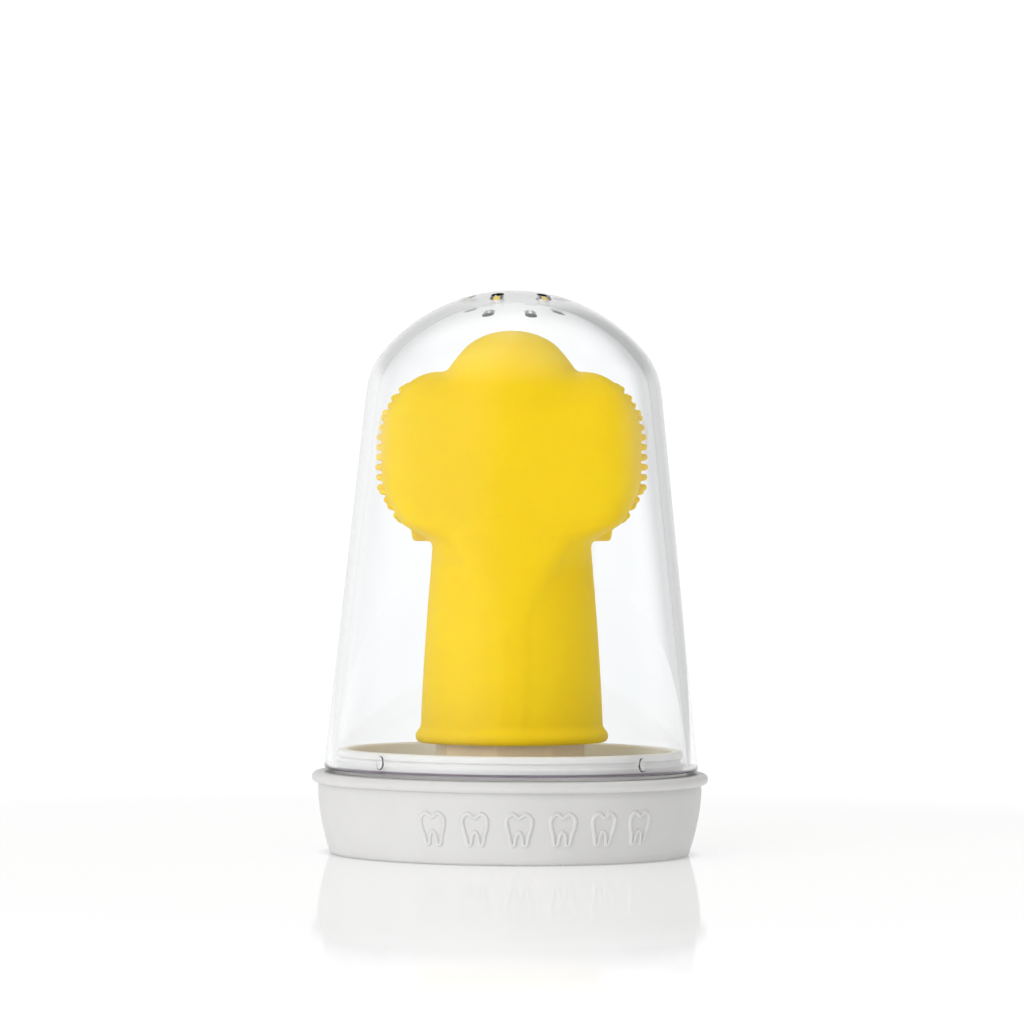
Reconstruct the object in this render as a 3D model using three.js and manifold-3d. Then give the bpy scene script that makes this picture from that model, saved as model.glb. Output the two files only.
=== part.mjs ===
// Finger toothbrush standing in its ventilated storage case: a one-piece silicone brush for a
// grown-up's index finger, the post it dries on, the case base with its drip tray, and a clear cover.
// Millimetres, +Z up, origin at the centre of the base's underside, bristle faces towards +X and -X.
import * as THREE from 'three';
import * as BufferGeometryUtils from 'three/addons/utils/BufferGeometryUtils.js';
import Module from 'manifold-3d';

const wasm = await Module();
wasm.setup();

// ---- Driving dimensions ----

const ROUND_SEGMENTS = 48;

const BASE = {
  topRadius: 24.5,       // skirt, just under the lip
  skirtTop: 8.6,
  taper: 1.62,           // how much narrower the skirt is at the floor
  taperPower: 1.8,
  footRound: 0.5,
  skirtWall: 1.8,
  floorUnder: 7.4,       // underside of the tray floor
  trayFloor: 9.0,
  lipRadius: 0.7,        // half the thickness of the rounded lip
  landHeight: 10.4,      // the ledge that the cover stands over
  spigotOuter: 22.1,
  spigotInner: 20.7,
  spigotTop: 13.35,
  grooveBottom: 11.7,
  grooveTop: 12.5,
  grooveDepth: 0.35,
  grooveSlope: 0.1,
  edgeRound: 0.3,
  lipOverhang: 0.13,     // how far the lip's centre stands out from the skirt
  skirtRings: [1.8, 3.4, 5.2, 7.0],
  bossRadius: 7.4,       // the boss that holds the post
  bossTop: 12.0,
  bossCore: 5.8,
};

const COVER = {
  rimHeight: 10.85,
  rimRadius: 23.95,
  draft: 0.1044,         // how much the wall leans in per millimetre of height
  wall: 1.25,
  apex: 72.0,
  crownRadius: 21.95,
  crownWall: 1.5,
  shoulderRadius: 6.5,
  rimRound: 0.3,
  ventCount: 6,
  ventRadius: 0.825,
  ventRing: 5.8,
  ventStart: -22,        // degrees from the front, towards +X
  pipCount: 4,
  pipHeight: 12.2,
  pipStart: 45,          // degrees from +X to the first pip
  pipSunk: 0.05,         // how deep the pips' centres lie in the wall
  pipSize: { across: 1.35, high: 1.8, proud: 0.35 },
};

const POST = {
  sides: 8,
  turn: 34,              // degrees from the front to one corner
  footRadius: 9.7,       // to the corners
  topRadius: 8.25,
  straightTop: 14.5,
  coneTop: 36.8,
  top: 39.8,
  topRound: 3.0,
  wall: 1.5,
  standGap: 0.3,
};

const BRUSH = {
  mouth: 14.2,
  sleeveRadius: 11.65,   // at sleeveFrom, above the bead
  sleeveFrom: 16.0,
  slope: 0.0383,
  slopeGrowth: 0.00127,
  neckHeight: 37.5,
  tipRadius: 8.7,
  tipFrom: 59.4,
  apex: 66.8,
  wall: 1.5,
  tipWall: 1.7,
  beadRadius: 0.82,
  beadRing: 11.48,
  headHeight: 51.15,     // centre of the head, seen from the side
  headRadius: 10.6,
  headRound: 2.0,
  headReach: 16.2,       // from the axis to the flat of each bristle face
  faceHeight: 50.6,      // centre of the faces' crown
  faceCrown: 14.6,
  faceCrownRise: 0.35,
  neckTurn: [39.0, 42.2],    // heights between which the neck's outline turns out into the head
  neckSquare: [36.0, 44.0],  // heights between which its round section turns squarer
  squareness: 5.2,       // power of the head's section; 2 is an ellipse
  ridgeHalf: 6.3,        // the flat front runs down into the sleeve as a narrowing ridge
  ridgeLeast: 2,
  ridgeHeight: 36.2,
  ridgeSpread: 0.72,
  ridgeTop: 45.0,
  ridgeSquareness: 5.0,
  ridgeBlend: 0.9,
  rimDiscHeight: 49.7,   // the rim that stands out under each face
  rimDiscRadius: 9.8,
  rimDiscReach: 12.7,
  rimDiscRound: 0.5,
  neckBlend: 0.1,
  topBlend: 0.7,
  valleyBlend: 2.4,      // what the blend gains away from the middle plane
  bristlePitch: 1.26,
  bristleRows: 8,
  bristleField: 5.4,     // radius that the square field is trimmed to
  bristleRadius: 0.44,
  bristleRoot: 11.4,
  bristleTip: 16.9,      // the field is cut to a plane at this half-width
  bristleLean: 0.058,    // the plane leans out towards the sleeve
  nubArcs: [             // angles in degrees from the top
    { radius: 6.3, proud: 0.75, angles: [-38, -19, 0, 19, 38, 142, 161, 180, 199, 218] },
    { radius: 8.4, proud: 0.5, angles: [-36, -18, 0, 18, 36, 144, 162, 180, 198, 216] },
  ],
};

const GRID = {
  around: 44,
  sleeve: 6,
  head: 20,
  bore: 6,
  tip: 4,
  pinSides: 4,
  mouthHeights: [0.05, 0.4, 0.85, 1.3, 1.9],
  headBelow: 14,         // how far under the head's centre its rows begin
  fanFrom: 0.2,          // share of the rows after which they fan upwards
};

// ---- Small helpers ----

const { clamp, degToRad } = THREE.MathUtils;

/** Points along an arc in a profile, angles in degrees, both ends included. */
function arc(centreX, centreY, radius, from, to, steps) {
  const points = [];
  for (let i = 0; i <= steps; i++) {
    const angle = degToRad(from + (to - from) * i / steps);
    points.push(new THREE.Vector2(centreX + radius * Math.cos(angle), centreY + radius * Math.sin(angle)));
  }
  return points;
}

function corner(radius, height) {
  return new THREE.Vector2(radius, height);
}

/** A body turned about Z from (radius, height) points that run anticlockwise and start and end on the axis. */
function turned(profile, segments, start = 0) {
  const geometry = new THREE.LatheGeometry(profile, segments, degToRad(start));
  geometry.rotateX(Math.PI / 2);
  return geometry;
}

/** The manifold solid of a closed geometry. Triangles that close up at a pole are dropped. */
function solidOf(geometry) {
  const bare = geometry.clone();
  bare.deleteAttribute('normal');
  bare.deleteAttribute('uv');
  const merged = BufferGeometryUtils.mergeVertices(bare, 1e-4);
  const corners = merged.index.array;
  const triangles = [];
  for (let i = 0; i < corners.length; i += 3) {
    const [a, b, c] = [corners[i], corners[i + 1], corners[i + 2]];
    if (a !== b && b !== c && c !== a) {
      triangles.push(a, b, c);
    }
  }
  return new wasm.Manifold(new wasm.Mesh({
    numProp: 3,
    vertProperties: merged.attributes.position.array,
    triVerts: new Uint32Array(triangles),
  }));
}

function geometryOf(solid) {
  const mesh = solid.getMesh();
  const geometry = new THREE.BufferGeometry();
  geometry.setAttribute('position', new THREE.BufferAttribute(mesh.vertProperties, 3));
  geometry.setIndex(new THREE.BufferAttribute(mesh.triVerts, 1));
  geometry.computeVertexNormals();
  return geometry;
}

function part(name, geometry, material) {
  const mesh = new THREE.Mesh(geometry, material);
  mesh.name = name;
  return mesh;
}

// ---- Case base: skirt, lip, spigot, drip tray and boss, open underneath ----

function skirtRadius(height) {
  const below = clamp((BASE.skirtTop - height) / BASE.skirtTop, 0, 1);
  return BASE.topRadius - BASE.taper * below ** BASE.taperPower;
}

function makeBase() {
  const b = BASE;
  const lipCentre = b.landHeight - b.lipRadius;
  const round = b.edgeRound;
  const bossUnder = b.bossTop - (b.trayFloor - b.floorUnder);
  const footOuter = skirtRadius(b.footRound);
  const profile = [
    corner(0, bossUnder),
    corner(b.bossCore, bossUnder),
    corner(b.bossCore, b.floorUnder),
    corner(skirtRadius(b.floorUnder) - b.skirtWall, b.floorUnder),
    corner(skirtRadius(b.floorUnder / 2) - b.skirtWall, b.floorUnder / 2),
    corner(footOuter - b.skirtWall, 0),
    ...arc(footOuter - b.footRound, b.footRound, b.footRound, -90, 0, 2),
    ...b.skirtRings.map((height) => corner(skirtRadius(height), height)),
    ...arc(b.topRadius + b.lipOverhang, lipCentre, b.lipRadius, -100, 90, 6),
    corner(b.spigotOuter, b.landHeight),
    corner(b.spigotOuter, b.grooveBottom - b.grooveSlope),
    corner(b.spigotOuter - b.grooveDepth, b.grooveBottom + b.grooveSlope),
    corner(b.spigotOuter - b.grooveDepth, b.grooveTop - b.grooveSlope),
    corner(b.spigotOuter, b.grooveTop + b.grooveSlope),
    ...arc(b.spigotOuter - round, b.spigotTop - round, round, 0, 90, 2),
    ...arc(b.spigotInner + round, b.spigotTop - round, round, 90, 180, 2),
    corner(b.spigotInner, b.trayFloor),
    corner(b.bossRadius, b.trayFloor),
    corner(b.bossRadius, b.bossTop),
    corner(0, b.bossTop),
  ];
  return turned(profile, ROUND_SEGMENTS);
}

// ---- Post: an eight-sided hollow peg that the brush is pushed onto to dry ----

function makePost() {
  const p = POST;
  const foot = BASE.trayFloor + p.standGap;
  const profile = [
    corner(0, p.top - p.wall),
    corner(p.topRadius - p.topRound, p.top - p.wall),
    corner(p.topRadius - p.wall, p.coneTop),
    corner(p.footRadius - p.wall, p.straightTop),
    corner(p.footRadius - p.wall, foot),
    corner(p.footRadius, foot),
    corner(p.footRadius, p.straightTop),
    ...arc(p.topRadius - p.topRound, p.coneTop, p.topRound, 0, 90, 4),
    corner(0, p.top),
  ];
  return turned(profile, p.sides, p.turn);
}

// ---- Clear cover: a drafted wall, a domed crown with vents, and four snap pips inside the rim ----

function wallRadius(height) {
  return COVER.rimRadius - COVER.draft * (height - COVER.rimHeight);
}

/** Where the shoulder round touches the leaning wall and the crown, found from its centre. */
function shoulder() {
  const c = COVER;
  const lean = Math.atan(c.draft);
  const crownCentre = c.apex - c.crownRadius;
  const reach = c.crownRadius - c.shoulderRadius;
  const radiusAt = (height) => wallRadius(height) - c.shoulderRadius / Math.cos(lean);
  let low = crownCentre;
  let high = c.apex;
  for (let i = 0; i < 50; i++) {
    const middle = (low + high) / 2;
    if (Math.hypot(radiusAt(middle), middle - crownCentre) < reach) {
      low = middle;
    } else {
      high = middle;
    }
  }
  const centre = corner(radiusAt(low), low);
  const crownAngle = THREE.MathUtils.radToDeg(Math.atan2(low - crownCentre, centre.x));
  return { centre, wallAngle: THREE.MathUtils.radToDeg(lean), crownAngle, crownCentre };
}

function makeCover() {
  const c = COVER;
  const { centre, wallAngle, crownAngle, crownCentre } = shoulder();
  const innerApex = c.apex - c.crownWall;
  const innerWall = (height) => wallRadius(height) - c.wall / Math.cos(degToRad(wallAngle));
  const rimTop = c.rimHeight + c.rimRound;
  const profile = [
    ...arc(0, crownCentre, c.crownRadius - c.crownWall, 90, crownAngle, 6),
    ...arc(centre.x, centre.y, c.shoulderRadius - c.crownWall, crownAngle, wallAngle, 4).slice(1, -1),
    corner(innerWall(centre.y), centre.y),
    corner(innerWall(rimTop), rimTop),
    corner(innerWall(c.rimHeight) + c.rimRound, c.rimHeight),
    corner(c.rimRadius - c.rimRound, c.rimHeight),
    corner(wallRadius(rimTop), rimTop),
    ...arc(centre.x, centre.y, c.shoulderRadius, wallAngle, crownAngle, 4),
    ...arc(0, crownCentre, c.crownRadius, crownAngle, 90, 6).slice(1),
  ];
  profile[0].x = 0;
  profile.at(-1).x = 0;
  let cover = solidOf(turned(profile, ROUND_SEGMENTS));

  for (let i = 0; i < c.ventCount; i++) {
    const angle = degToRad(c.ventStart + 360 * i / c.ventCount);
    const drill = new THREE.CylinderGeometry(c.ventRadius, c.ventRadius, 3 * c.crownWall, 10);
    drill.rotateX(Math.PI / 2);
    drill.translate(c.ventRing * Math.sin(angle), -c.ventRing * Math.cos(angle), innerApex);
    cover = cover.subtract(solidOf(drill));
  }

  for (let i = 0; i < c.pipCount; i++) {
    const pip = new THREE.SphereGeometry(1, 10, 6);
    pip.scale(c.pipSize.proud, c.pipSize.across / 2, c.pipSize.high / 2);
    pip.translate(innerWall(c.pipHeight) + c.pipSunk, 0, c.pipHeight);
    pip.rotateZ(degToRad(c.pipStart + 360 * i / c.pipCount));
    cover = cover.add(solidOf(pip));
  }
  return geometryOf(cover);
}

// ---- Finger brush: sleeve, wide head with two crowned bristle faces, finger cavity ----

/** Smooth blends of two distances, reaching over a width. */
function smoothJoin(a, b, width) {
  const near = Math.max(width - Math.abs(a - b), 0);
  return Math.min(a, b) - near * near / (4 * width);
}

function smoothCut(a, b, width) {
  return -smoothJoin(-a, -b, width);
}

/** Radius of the finger-shaped core, from the sleeve's mouth to the tip. */
function coreRadius(height) {
  const b = BRUSH;
  const sleeve = (z) => {
    const up = z - b.sleeveFrom;
    return b.sleeveRadius - b.slope * up - b.slopeGrowth * up * up;
  };
  if (height < b.neckHeight) {
    return sleeve(height);
  }
  if (height < b.tipFrom) {
    const share = (height - b.neckHeight) / (b.tipFrom - b.neckHeight);
    return THREE.MathUtils.lerp(sleeve(b.neckHeight), b.tipRadius, share);
  }
  const up = (height - b.tipFrom) / (b.apex - b.tipFrom);
  return b.tipRadius * Math.sqrt(Math.max(1 - up * up, 0));
}

/** Half the width seen from the front, from the neck up: crowned faces over a turned-in neck. */
function headReach(z) {
  const b = BRUSH;
  const drop = b.faceCrown - Math.sqrt(Math.max(b.faceCrown ** 2 - (z - b.faceHeight) ** 2, 0));
  const crowned = b.headReach + Math.min(b.faceCrownRise - drop, 0);
  const neck = coreRadius(Math.min(z, b.neckTurn[1]));
  return THREE.MathUtils.lerp(neck, crowned, THREE.MathUtils.smoothstep(z, ...b.neckTurn));
}

/** Half the head's depth, front to back. */
function headDepth(z) {
  const b = BRUSH;
  const share = THREE.MathUtils.smoothstep(z, b.neckHeight, b.headHeight);
  return THREE.MathUtils.lerp(coreRadius(b.neckHeight), b.headRadius, share);
}

/** Where a point lies against a rounded rectangle: 1 on its outline. Power 2 gives an ellipse. */
function sectionShare(x, y, halfWidth, halfDepth, power) {
  return ((Math.abs(x) / halfWidth) ** power + (Math.abs(y) / halfDepth) ** power) ** (1 / power);
}

/** The head: at each height a section between a circle and a rounded rectangle, domed over the top. */
function headField(x, y, z) {
  const b = BRUSH;
  const deep = headDepth(z);
  const power = THREE.MathUtils.lerp(2, b.squareness, THREE.MathUtils.smoothstep(z, ...b.neckSquare));
  const section = sectionShare(x, y, headReach(z), deep, power);
  const overTop = Math.hypot(y, Math.max(z - b.headHeight, 0)) - b.headRadius;
  return Math.max(smoothCut((section - 1) * deep, overTop, b.headRound), b.neckSquare[0] - z);
}

/** The ridge that carries the head's flat front and back down into the sleeve. */
function ridgeField(x, y, z) {
  const b = BRUSH;
  const deep = headDepth(z);
  const half = Math.max(b.ridgeHalf + b.ridgeSpread * (z - b.ridgeHeight), b.ridgeLeast);
  const section = sectionShare(x, y, half, deep, b.ridgeSquareness);
  return Math.max((section - 1) * Math.min(half, deep), z - b.ridgeTop);
}

/** Below zero inside the brush without its bristles. */
function brushField(x, y, z) {
  const b = BRUSH;
  const { smoothstep } = THREE.MathUtils;
  const out = Math.hypot(x, y);
  const over = Math.max(z - b.apex, 0);
  const finger = out - coreRadius(Math.min(z, b.apex)) + over;
  const core = smoothJoin(finger, ridgeField(x, y, z), b.ridgeBlend);
  const bead = Math.hypot(out - b.beadRing, z - b.mouth - b.beadRadius) - b.beadRadius;
  const rimSide = Math.hypot(y, z - b.rimDiscHeight) - b.rimDiscRadius;
  const rim = smoothCut(rimSide, Math.abs(x) - b.rimDiscReach, b.rimDiscRound);
  const upper = smoothstep(z, b.headHeight - 7, b.headHeight + 5);
  const top = b.topBlend + b.valleyBlend * smoothstep(Math.abs(y), 2, 8);
  const body = smoothJoin(core, headField(x, y, z), b.neckBlend + top * upper);
  return Math.min(smoothJoin(body, bead, b.beadRadius), Math.max(rim, b.rimDiscReach - 2 - Math.abs(x)));
}

/** Half-width of a bristle face at a point of the side view. */
function faceReach(y, z) {
  let low = 10;
  let high = 18;
  for (let i = 0; i < 30; i++) {
    const middle = (low + high) / 2;
    if (brushField(middle, y, z) < 0) {
      low = middle;
    } else {
      high = middle;
    }
  }
  return low;
}

/** How far the surface is from a point on the axis, along a direction. */
function surfaceAlong(originZ, azimuth, elevation) {
  const flat = Math.cos(elevation);
  const [dx, dy, dz] = [flat * Math.cos(azimuth), flat * Math.sin(azimuth), Math.sin(elevation)];
  let low = 4;
  let high = 20;
  for (let i = 0; i < 40; i++) {
    const middle = (low + high) / 2;
    if (brushField(middle * dx, middle * dy, originZ + middle * dz) < 0) {
      low = middle;
    } else {
      high = middle;
    }
  }
  return new THREE.Vector3(low * dx, low * dy, originZ + low * dz);
}

/** Rows of points, from the middle of the cavity's end, down the bore, round the mouth and up to the tip. */
function brushRows() {
  const b = BRUSH;
  const g = GRID;
  const rows = [];
  const ring = (radius, height) => {
    rows.push(Array.from({ length: g.around }, (_, i) => {
      const angle = 2 * Math.PI * i / g.around;
      return new THREE.Vector3(radius * Math.cos(angle), radius * Math.sin(angle), height);
    }));
  };
  const cavityTip = b.apex - b.tipWall;
  const cavityRound = cavityTip - b.tipFrom;
  const tipInner = b.tipRadius - b.wall;
  for (let i = 1; i <= g.tip; i++) {
    const angle = Math.PI / 2 * i / g.tip;
    ring(tipInner * Math.sin(angle), b.tipFrom + cavityRound * Math.cos(angle));
  }
  for (let i = 1; i < g.bore; i++) {
    const height = b.tipFrom + (b.mouth + 0.4 - b.tipFrom) * i / (g.bore - 1);
    ring(coreRadius(height) - b.wall, height);
  }
  ring(coreRadius(b.mouth) - b.wall + 0.4, b.mouth);
  const traced = (originZ, elevation) => {
    rows.push(Array.from({ length: g.around }, (_, i) => (
      surfaceAlong(originZ, 2 * Math.PI * i / g.around, elevation)
    )));
  };
  for (const height of g.mouthHeights) {
    traced(b.mouth + height, 0);
  }
  const headFrom = b.headHeight - g.headBelow;
  for (let i = 1; i <= g.sleeve; i++) {
    traced(THREE.MathUtils.lerp(b.mouth + g.mouthHeights.at(-1), headFrom, i / g.sleeve), 0);
  }
  for (let i = 1; i < g.head; i++) {
    const share = i / g.head;
    const originZ = THREE.MathUtils.lerp(headFrom, b.headHeight, Math.min(share * 2, 1));
    traced(originZ, Math.PI / 2 * clamp((share - g.fanFrom) / (1 - g.fanFrom), 0, 1));
  }
  return { rows, start: new THREE.Vector3(0, 0, cavityTip), end: new THREE.Vector3(0, 0, b.apex) };
}

function makeBrushBody() {
  const { rows, start, end } = brushRows();
  const around = GRID.around;
  const points = [start, ...rows.flat(), end];
  const last = points.length - 1;
  const at = (row, i) => 1 + row * around + i % around;
  const triangles = [];
  for (let i = 0; i < around; i++) {
    triangles.push(0, at(0, i + 1), at(0, i));
    for (let row = 0; row + 1 < rows.length; row++) {
      triangles.push(at(row, i), at(row, i + 1), at(row + 1, i));
      triangles.push(at(row + 1, i), at(row, i + 1), at(row + 1, i + 1));
    }
    triangles.push(at(rows.length - 1, i), at(rows.length - 1, i + 1), last);
  }
  const geometry = new THREE.BufferGeometry().setFromPoints(points);
  geometry.setIndex(triangles);
  return geometry;
}

/** Where the bristles and nubs stand on a face, as Y and Z, and how far their tips reach from the axis. */
function bristlePlaces() {
  const b = BRUSH;
  const places = [];
  const half = (b.bristleRows - 1) / 2;
  for (let row = -half; row <= half; row++) {
    for (let column = -half; column <= half; column++) {
      const [y, up] = [column * b.bristlePitch, row * b.bristlePitch];
      if (Math.hypot(y, up) < b.bristleField) {
        places.push({ y, z: b.headHeight + up, tip: b.bristleTip - b.bristleLean * up });
      }
    }
  }
  for (const { radius, proud, angles } of b.nubArcs) {
    for (const angle of angles.map(degToRad)) {
      const y = radius * Math.sin(angle);
      const z = b.headHeight + radius * Math.cos(angle);
      places.push({ y, z, tip: faceReach(y, z) + proud });
    }
  }
  return places;
}

/** All the bristles of one face, rooted in the head. */
function makeBristles(side) {
  const b = BRUSH;
  const pins = bristlePlaces().map(({ y, z, tip }) => {
    const length = tip - b.bristleRoot;
    const pin = new THREE.CylinderGeometry(b.bristleRadius, b.bristleRadius, length, GRID.pinSides);
    pin.rotateZ(Math.PI / 2);
    pin.translate(side * (b.bristleRoot + tip) / 2, y, z);
    return pin;
  });
  return solidOf(BufferGeometryUtils.mergeGeometries(pins));
}

function makeBrush() {
  const body = solidOf(makeBrushBody());
  return geometryOf(body.add(makeBristles(1)).add(makeBristles(-1)));
}

// ---- Assembly ----

const offWhite = new THREE.MeshStandardMaterial({ color: 0xdedcd7, roughness: 0.42, metalness: 0 });
const postPlastic = new THREE.MeshStandardMaterial({ color: 0xdcc9b0, roughness: 0.45, metalness: 0 });
const silicone = new THREE.MeshStandardMaterial({ color: 0xf4d42a, roughness: 0.55, metalness: 0 });
const clearPlastic = new THREE.MeshStandardMaterial({
  color: 0xf4f7f8,
  roughness: 0.05,
  metalness: 0,
  transparent: true,
  opacity: 0.3,
});

const fingerToothbrush = new THREE.Group();
fingerToothbrush.add(
  part('case_base', makeBase(), offWhite),
  part('drying_post', makePost(), postPlastic),
  part('finger_brush', makeBrush(), silicone),
  part('clear_cover', makeCover(), clearPlastic),
);

export default fingerToothbrush;
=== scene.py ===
"""Finger toothbrush in its ventilated storage case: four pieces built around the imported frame.

Shapes are worked out in millimetres and turned into metres when a mesh is made. Z is up, the front
faces -Y, and the brush's bristle pads face +X and -X.
"""

import itertools
import math

import bmesh
import bpy
import numpy as np
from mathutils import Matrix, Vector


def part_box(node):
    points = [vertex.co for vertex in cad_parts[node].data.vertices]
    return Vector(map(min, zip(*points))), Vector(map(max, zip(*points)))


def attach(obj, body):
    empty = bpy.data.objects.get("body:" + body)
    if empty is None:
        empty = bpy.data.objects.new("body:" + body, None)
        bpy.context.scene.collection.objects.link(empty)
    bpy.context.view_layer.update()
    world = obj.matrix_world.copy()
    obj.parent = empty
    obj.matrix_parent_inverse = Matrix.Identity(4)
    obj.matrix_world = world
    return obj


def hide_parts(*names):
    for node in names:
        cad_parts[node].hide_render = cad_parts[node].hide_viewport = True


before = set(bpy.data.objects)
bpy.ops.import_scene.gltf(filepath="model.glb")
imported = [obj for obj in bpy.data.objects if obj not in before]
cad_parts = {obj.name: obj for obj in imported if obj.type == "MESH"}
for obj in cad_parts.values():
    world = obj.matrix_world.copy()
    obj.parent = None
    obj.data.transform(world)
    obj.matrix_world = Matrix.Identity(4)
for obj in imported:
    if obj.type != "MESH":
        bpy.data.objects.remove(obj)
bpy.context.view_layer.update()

MM = 0.001
NEAR_AXIS = 0.01                      # where a turned outline starts and ends


def limits(node):
    """Lowest and highest corner of a CAD node, in millimetres."""
    low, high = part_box(node)
    return [value / MM for value in low], [value / MM for value in high]


_, BASE_HIGH = limits("case_base")
POST_LOW, POST_HIGH = limits("drying_post")
BRUSH_LOW, BRUSH_HIGH = limits("finger_brush")
COVER_LOW, COVER_HIGH = limits("clear_cover")

# ---- Sizes of the case base ----

LIP_ROUND = 0.7                       # half the thickness of the rounded lip
LIP_OUTER = BASE_HIGH[0]
LAND_HEIGHT = 10.4                    # the ledge that the cover stands over
SKIRT_TOP = 8.6
SKIRT_RADIUS = 24.5                   # just under the lip
SKIRT_TAPER = 1.62
SKIRT_POWER = 1.8
SKIRT_WALL = 1.8
SKIRT_SPAN = (0.9, 8.4)               # heights that the skirt's curve runs between
FOOT_ROUND = 0.5
TRAY_FLOOR = 9.0
TRAY_UNDER = 7.4
SPIGOT_OUTER = 22.1
SPIGOT_INNER = 20.7
SPIGOT_TOP = BASE_HIGH[2]
GROOVE = (11.7, 12.5, 0.35)           # bottom, top and depth
GROOVE_SLOPE = 0.2
BOSS_RADIUS = 7.4
BOSS_TOP = 12.0
BOSS_CORE = 5.8
BASE_SIDES = 288

# ---- Sizes of the raised teeth on the base ----

TOOTH_HALF = (                        # right half of the outline, from the middle of the top
    (0, 0.66), (0.46, 0.90), (0.88, 0.62), (0.86, 0.10), (0.70, -0.38),
    (0.56, -0.92), (0.32, -0.90), (0.22, -0.42),
)
TOOTH_FORK = (0, -0.18)
TOOTH_SIZE = (1.75, 2.1)              # half width and half height
TOOTH_STROKE = 0.27                   # half the width of the raised line
TOOTH_PROUD = 0.26
TOOTH_ROOT = 0.3                      # how far the line reaches into the skirt
TOOTH_SECTION = (0, 25, 50, 75, 105, 130, 155, 180, 235, 305)   # degrees round the line's section
TOOTH_HEIGHT = 4.55
TOOTH_PITCH = 13.0                    # degrees round the skirt
TOOTH_COUNT = 6
TOOTH_CENTRE = 9.3                    # degrees from the front, towards +X

# ---- Sizes of the cover ----

RIM_HEIGHT = COVER_LOW[2]
RIM_RADIUS = COVER_HIGH[0]
RIM_ROUND = 0.22
RIM_STRAIGHT = 0.9                    # height of the rim below the eased outline
APEX = COVER_HIGH[2]
DRAFT = 0.1044                        # how much the wall leans in per unit of height
COVER_WALL = 1.25
CROWN_WALL = 1.5
WALL_GROWTH = (0, 0.8)                # shares of the height between which the wall gets thicker
CROWN_RADIUS = 21.95
EASE = 1.6                            # how far the outline's bends are spread
EASE_STEP = 0.1
EASE_FROM = 1.0                       # height over the rim at which the eased outline starts
SHOULDER_RADIUS = 6.5
VENT_COUNT = 6
VENT_RADIUS = 0.825
VENT_RING = 5.8
VENT_START = -22                      # degrees from the front, towards +X
VENT_SIDES = 28
DRILL_HEIGHTS = (APEX - 6, APEX + 2)
PIP_COUNT = 4
PIP_HEIGHT = 12.2
PIP_SIZE = (0.35, 1.35, 1.8)          # proud, across, high
PIP_SUNK = 0.05                       # how far behind the wall's inside its centre lies
PIP_SIDES = 24
COVER_SIDES = 256
COVER_SHIFT = 0.15                    # the cover sits off centre, within its play

# ---- Sizes of the post ----

POST_TURN = 34                        # degrees from the front to one corner
POST_FOOT_RADIUS = 9.7                # to the corners
POST_TOP_RADIUS = 8.25
POST_STRAIGHT = 14.5
POST_CORNER_ROUND = 1.1
POST_TOP_ROUND = 3.0
POST_WALL = 1.5
POST_INNER_ROUND = 0.7                # of the corners, inside
POST_FOOT_EDGE = 0.3
POST_CLOSING = 1.0                    # radius of the last ring before the fan that closes the top

# ---- Sizes of the brush ----

MOUTH = BRUSH_LOW[2]
BRUSH_APEX = BRUSH_HIGH[2]
NECK_HEIGHT = 37.5
TIP_FROM = 59.4
TIP_RADIUS = 8.7
SLEEVE_RADIUS = 11.65
SLEEVE_FROM = 16.0
SLEEVE_TAPER = (0.0383, 0.00127)      # how it narrows with height and with height squared
BRUSH_WALL = 1.5
TIP_WALL = 1.7
BEAD_RADIUS = 0.82
BEAD_RING = 11.48
BEAD_BLEND = 0.8
EDGE_ROUND = 0.4                      # of the mouth and of the edges of the cavity
HEAD_HEIGHT = 51.15                   # centre of the head, seen from the side
HEAD_RADIUS = 10.6
HEAD_REACH = 16.2                     # from the axis to the flat of each bristle face
FACE_HEIGHT = 50.6                    # centre of the bristle faces' crown
FACE_CROWN = 14.6
FACE_CROWN_RISE = 0.35
NECK_TURN = (39.0, 42.2)              # heights between which the neck's outline turns out into the head
NECK_SQUARE = (36.0, 44.0)            # heights between which its round section turns squarer
HEAD_SQUARENESS = 5.2                 # power of the head's section; 2 is an ellipse
RIDGE_HALF = 6.3                      # the flat front runs down into the sleeve as a narrowing ridge
RIDGE_HEIGHT = 36.2                   # where it has that half width
RIDGE_NARROWEST = 2.0
RIDGE_SPREAD = 0.72
RIDGE_SQUARENESS = 5.0
RIDGE_BLEND = 0.9
RIDGE_TOP = 45.0
RIDGE_FADE = 4.0                      # height over which it sinks into the head, below its top
RIDGE_OVERRUN = 2.0                   # how far above its top it is cut off
RIM_DISC_HEIGHT = 49.7                # the rim that stands out under each face
RIM_DISC_RADIUS = 9.8
RIM_DISC_REACH = 12.7
RIM_DISC_ROUND = 0.5
RIM_DISC_DEPTH = 2.0
HEAD_TOP_BLEND = 2.0                  # between the head's section and its round top
NECK_BLEND = 0.1                      # between core and head, at the neck
CROWN_BLEND = 0.7                     # and how much more over the head,
CROWN_BLEND_ENDS = 2.4                # and more again towards its front and back
CROWN_HEIGHTS = (HEAD_HEIGHT - 7, HEAD_HEIGHT + 5)
CROWN_DEPTHS = (2, 8)
BRISTLE_PITCH = 1.26
BRISTLE_ROWS = 8
BRISTLE_FIELD = 5.4
BRISTLE_RADIUS = 0.44
BRISTLE_ROOT = 11.4
BRISTLE_TIP = 16.9
BRISTLE_LEAN = 0.058
BRISTLE_SIDES = 14
BRISTLE_FLARE = ((0.22, BRISTLE_RADIUS), (0.06, 0.5), (-0.06, 0.6))   # height over the face, radius
NUB_ARCS = (                          # radius, how far proud, and degrees from the top
    (6.3, 0.75, (-38, -19, 0, 19, 38, 142, 161, 180, 199, 218)),
    (8.4, 0.5, (-36, -18, 0, 18, 36, 144, 162, 180, 198, 216)),
)
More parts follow.
